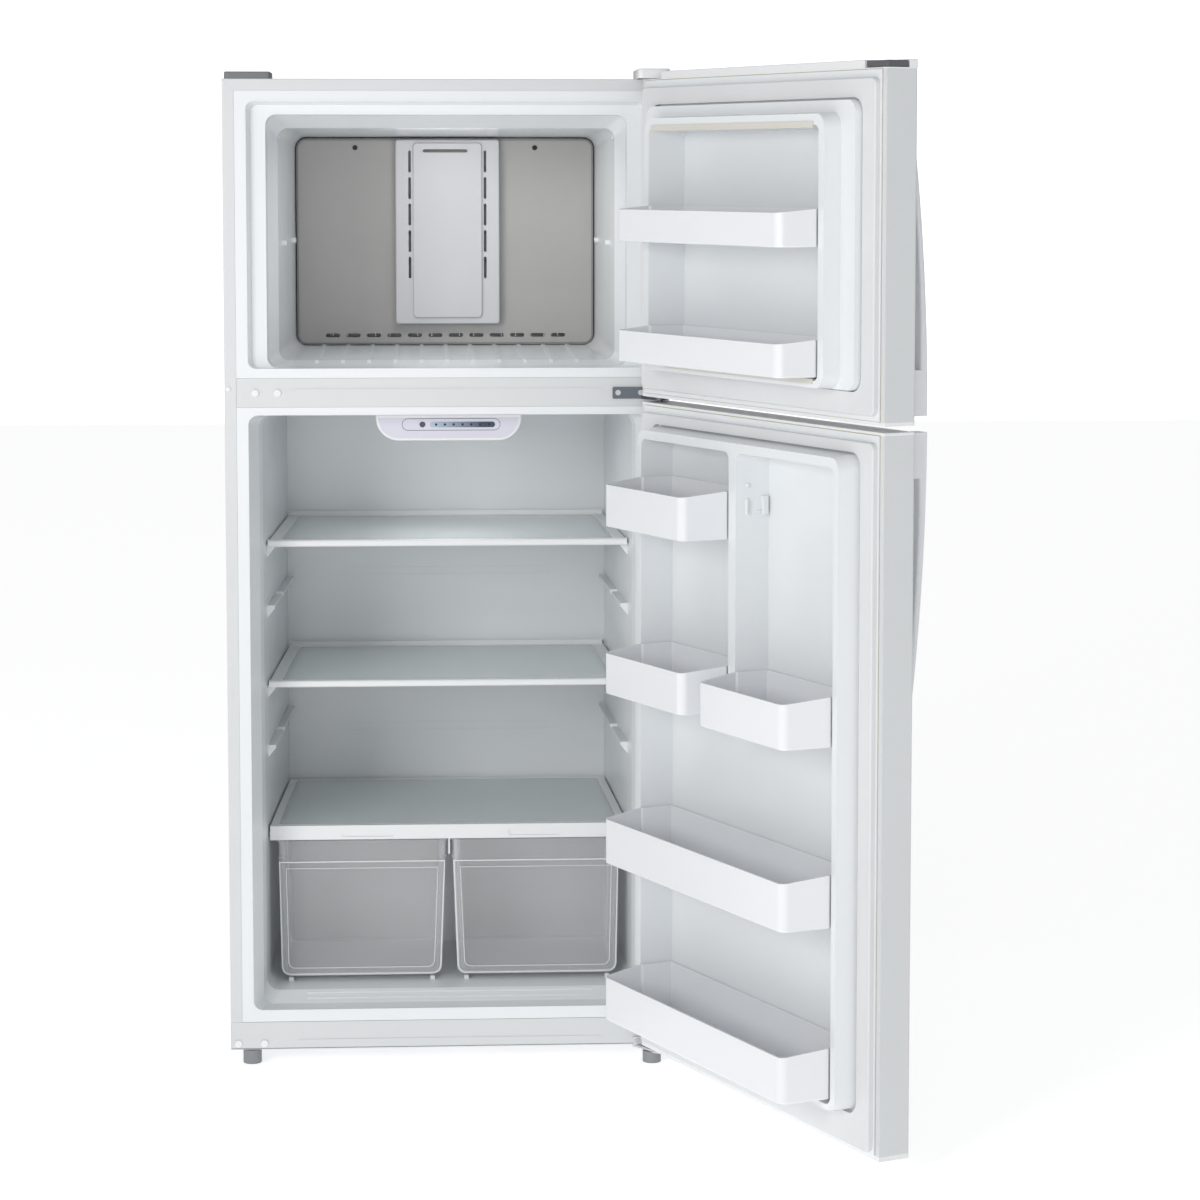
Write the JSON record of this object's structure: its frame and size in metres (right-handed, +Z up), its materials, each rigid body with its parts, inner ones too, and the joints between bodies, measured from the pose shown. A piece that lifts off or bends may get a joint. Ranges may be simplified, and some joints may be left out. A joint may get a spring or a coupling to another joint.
{
  "type": "top freezer refrigerator",
  "caption": "Upright refrigerator with a freezer compartment on top, right-hinged doors standing open, glass shelves, clear crisper drawers and lift-off door bins.",
  "frame": {"origin": "on the floor under the middle of the cabinet, without its doors", "axes": "+Z up, -Y out of the open front towards the user, +X to the right of a user who faces it"},
  "size_m": [1.1029, 1.362, 1.7165],
  "materials": {
    "white_enamel": "satin",
    "back_steel": "satin",
    "zinc_steel": "satin",
    "dark_steel": "satin",
    "black_enamel": "gloss",
    "copper": "satin",
    "foam": "matte",
    "liner_plastic": "gloss",
    "trim_plastic": "satin",
    "bin_plastic": "gloss",
    "cream_plastic": "matte",
    "grey_plastic": "matte",
    "panel_plastic": "matte",
    "dark_plastic": "matte",
    "clear_plastic": "gloss",
    "lamp_plastic": "gloss",
    "shelf_glass": "gloss",
    "seal_rubber": "matte",
    "black_rubber": "matte"
  },
  "bodies": {
    "cabinet": {"outer_cabinet": "white_enamel", "rear_panel": "back_steel", "base_pan": "zinc_steel", "cabinet_foam": "foam", "freezer_liner": "liner_plastic", "fridge_liner": "liner_plastic", "mullion_rail": "white_enamel", "toe_rail": "white_enamel", "screw_plugs": "trim_plastic", "spare_hinge_cap": "grey_plastic", "top_hinge": "zinc_steel", "hinge_cover": "trim_plastic", "centre_hinge": "dark_steel", "bottom_hinge": "zinc_steel", "screws": "zinc_steel", "compressor": "black_enamel", "compressor_grommets": "black_rubber", "condenser_coil": "copper", "fan_motors": "dark_plastic", "machine_cover": "dark_plastic", "cord_gland": "black_rubber", "evaporator_coil": "zinc_steel", "freezer_rear_panel": "panel_plastic", "freezer_duct_cover": "trim_plastic", "control_housing": "trim_plastic", "lamp_lens": "lamp_plastic", "crisper_cover_frame": "trim_plastic", "crisper_cover_glass": "shelf_glass"},
    "left_foot": {"left_foot": "grey_plastic"},
    "right_foot": {"right_foot": "grey_plastic"},
    "rear_rollers": {"rear_rollers": "dark_plastic"},
    "condenser_fan": {"condenser_fan": "dark_plastic"},
    "evaporator_fan": {"evaporator_fan": "trim_plastic"},
    "set_button": {"set_button": "trim_plastic"},
    "upper_shelf": {"upper_shelf_frame": "trim_plastic", "upper_shelf_glass": "shelf_glass"},
    "lower_shelf": {"lower_shelf_frame": "trim_plastic", "lower_shelf_glass": "shelf_glass"},
    "left_crisper": {"left_crisper": "clear_plastic"},
    "right_crisper": {"right_crisper": "clear_plastic"},
    "freezer_door": {"freezer_door_skin": "white_enamel", "freezer_door_caps": "trim_plastic", "freezer_door_liner": "liner_plastic", "freezer_door_foam": "foam", "freezer_door_gasket": "seal_rubber", "freezer_door_handle": "trim_plastic", "freezer_lip_strips": "cream_plastic"},
    "fridge_door": {"fridge_door_skin": "white_enamel", "fridge_door_caps": "trim_plastic", "fridge_door_liner": "liner_plastic", "fridge_door_foam": "foam", "fridge_door_gasket": "seal_rubber", "fridge_door_handle": "trim_plastic"},
    "freezer_upper_bin": {"freezer_upper_bin": "bin_plastic"},
    "freezer_lower_bin": {"freezer_lower_bin": "bin_plastic"},
    "fridge_upper_bin": {"fridge_upper_bin": "bin_plastic"},
    "fridge_left_bin": {"fridge_left_bin": "bin_plastic"},
    "fridge_right_bin": {"fridge_right_bin": "bin_plastic"},
    "fridge_wide_bin": {"fridge_wide_bin": "bin_plastic"},
    "fridge_bottom_bin": {"fridge_bottom_bin": "bin_plastic"}
  },
  "joints": [
    {"name": "door_freezer_hinge", "type": "hinge", "parent": "cabinet", "child": "freezer_door", "pos_m": [0.3614, -0.356, 1.43], "axis": [0, 0, 1], "range_deg": [-114.7, 13.3]},
    {"name": "door_fridge_hinge", "type": "hinge", "parent": "cabinet", "child": "fridge_door", "pos_m": [0.3614, -0.356, 0.59], "axis": [0, 0, 1], "range_deg": [-114.7, 13.3]},
    {"name": "crisper_left_slide", "type": "slide", "parent": "cabinet", "child": "left_crisper", "axis": [0, -1, 0], "range_m": [0, 0.2]},
    {"name": "crisper_right_slide", "type": "slide", "parent": "cabinet", "child": "right_crisper", "axis": [0, -1, 0], "range_m": [0, 0.2]},
    {"name": "shelf_upper_slide", "type": "slide", "parent": "cabinet", "child": "upper_shelf", "axis": [0, -1, 0], "range_m": [0, 0.25]},
    {"name": "shelf_lower_slide", "type": "slide", "parent": "cabinet", "child": "lower_shelf", "axis": [0, -1, 0], "range_m": [0, 0.25]},
    {"name": "set_button_press", "type": "slide", "parent": "cabinet", "child": "set_button", "axis": [0, 1, 0], "range_m": [0, 0.0012], "stiffness_N_per_m": 300, "springref_m": -0.0005},
    {"name": "foot_left_level", "type": "slide", "parent": "cabinet", "child": "left_foot", "axis": [0, 0, -1], "range_m": [0, 0.01]},
    {"name": "foot_right_level", "type": "slide", "parent": "cabinet", "child": "right_foot", "axis": [0, 0, -1], "range_m": [0, 0.01]},
    {"name": "roller_spin", "type": "hinge", "parent": "cabinet", "child": "rear_rollers", "pos_m": [0, 0.28, 0.016], "axis": [1, 0, 0], "continuous": true},
    {"name": "fan_condenser_spin", "type": "hinge", "parent": "cabinet", "child": "condenser_fan", "pos_m": [0.02, 0.228, 0.12], "axis": [1, 0, 0], "continuous": true},
    {"name": "fan_evaporator_spin", "type": "hinge", "parent": "cabinet", "child": "evaporator_fan", "pos_m": [0.004, 0.2, 1.52], "axis": [0, -1, 0], "continuous": true},
    {"name": "lift_freezer_upper_bin", "type": "slide", "parent": "freezer_door", "child": "freezer_upper_bin", "axis": [0, 0, 1], "range_m": [0, 0.025]},
    {"name": "lift_freezer_lower_bin", "type": "slide", "parent": "freezer_door", "child": "freezer_lower_bin", "axis": [0, 0, 1], "range_m": [0, 0.025]},
    {"name": "lift_fridge_upper_bin", "type": "slide", "parent": "fridge_door", "child": "fridge_upper_bin", "axis": [0, 0, 1], "range_m": [0, 0.025]},
    {"name": "lift_fridge_left_bin", "type": "slide", "parent": "fridge_door", "child": "fridge_left_bin", "axis": [0, 0, 1], "range_m": [0, 0.025]},
    {"name": "lift_fridge_right_bin", "type": "slide", "parent": "fridge_door", "child": "fridge_right_bin", "axis": [0, 0, 1], "range_m": [0, 0.025]},
    {"name": "lift_fridge_wide_bin", "type": "slide", "parent": "fridge_door", "child": "fridge_wide_bin", "axis": [0, 0, 1], "range_m": [0, 0.025]},
    {"name": "lift_fridge_bottom_bin", "type": "slide", "parent": "fridge_door", "child": "fridge_bottom_bin", "axis": [0, 0, 1], "range_m": [0, 0.025]}
  ]
}
